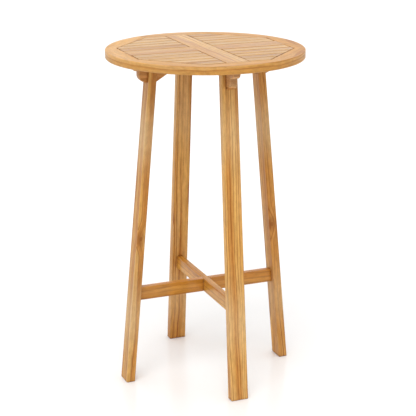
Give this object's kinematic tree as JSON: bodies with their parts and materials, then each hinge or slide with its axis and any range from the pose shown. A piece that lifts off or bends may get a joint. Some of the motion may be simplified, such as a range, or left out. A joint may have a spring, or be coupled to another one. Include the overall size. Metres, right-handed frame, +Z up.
{
  "type": "bar table",
  "caption": "Tall round bar table in varnished hardwood: slatted top in a round rim, splayed tapered legs, shaped crossing aprons and low crossing stretchers.",
  "frame": {"origin": "on the floor, on the table's upright axis", "axes": "+Z up; +X along one stretcher and apron towards the right leg; +Y along the other towards the rear leg. The picture looks from between -Y and -X."},
  "size_m": [0.61, 0.61, 1.05],
  "materials": {
    "rim_wood": "satin varnish over honey-brown hardwood, grain along each board",
    "rail_wood": "satin varnish over honey-brown hardwood, grain along the rail",
    "slat_wood": "satin varnish over honey-brown hardwood, each slat a little lighter or darker",
    "apron_wood": "satin varnish over honey-brown hardwood",
    "leg_wood": "satin varnish over honey-brown hardwood with streaked grain along the leg",
    "stretcher_wood": "satin varnish over honey-brown hardwood",
    "joint_wood": "bare beech of the hidden tongues and dowels",
    "screw_steel": "plated steel"
  },
  "bodies": {
    "root": {"rim_board_1": "rim_wood", "rim_board_2": "rim_wood", "rim_board_3": "rim_wood", "rim_board_4": "rim_wood", "rim_board_5": "rim_wood", "rim_board_6": "rim_wood", "rim_board_7": "rim_wood", "rim_board_8": "rim_wood", "rail_left_right": "rail_wood", "rail_front_rear": "rail_wood", "slat_rear_right_1": "slat_wood", "slat_rear_right_2": "slat_wood", "slat_rear_right_3": "slat_wood", "slat_rear_right_4": "slat_wood", "slat_rear_right_5": "slat_wood", "slat_rear_left_1": "slat_wood", "slat_rear_left_2": "slat_wood", "slat_rear_left_3": "slat_wood", "slat_rear_left_4": "slat_wood", "slat_rear_left_5": "slat_wood", "slat_front_right_1": "slat_wood", "slat_front_right_2": "slat_wood", "slat_front_right_3": "slat_wood", "slat_front_right_4": "slat_wood", "slat_front_right_5": "slat_wood", "slat_front_left_1": "slat_wood", "slat_front_left_2": "slat_wood", "slat_front_left_3": "slat_wood", "slat_front_left_4": "slat_wood", "slat_front_left_5": "slat_wood", "apron_left_right": "apron_wood", "apron_front_rear": "apron_wood", "leg_left": "leg_wood", "leg_right": "leg_wood", "leg_front": "leg_wood", "leg_rear": "leg_wood", "stretcher_left_right": "stretcher_wood", "stretcher_front_rear": "stretcher_wood", "rim_splines": "joint_wood", "leg_dowels": "joint_wood", "apron_screws": "screw_steel", "stretcher_screw": "screw_steel"}
  },
  "joints": []
}
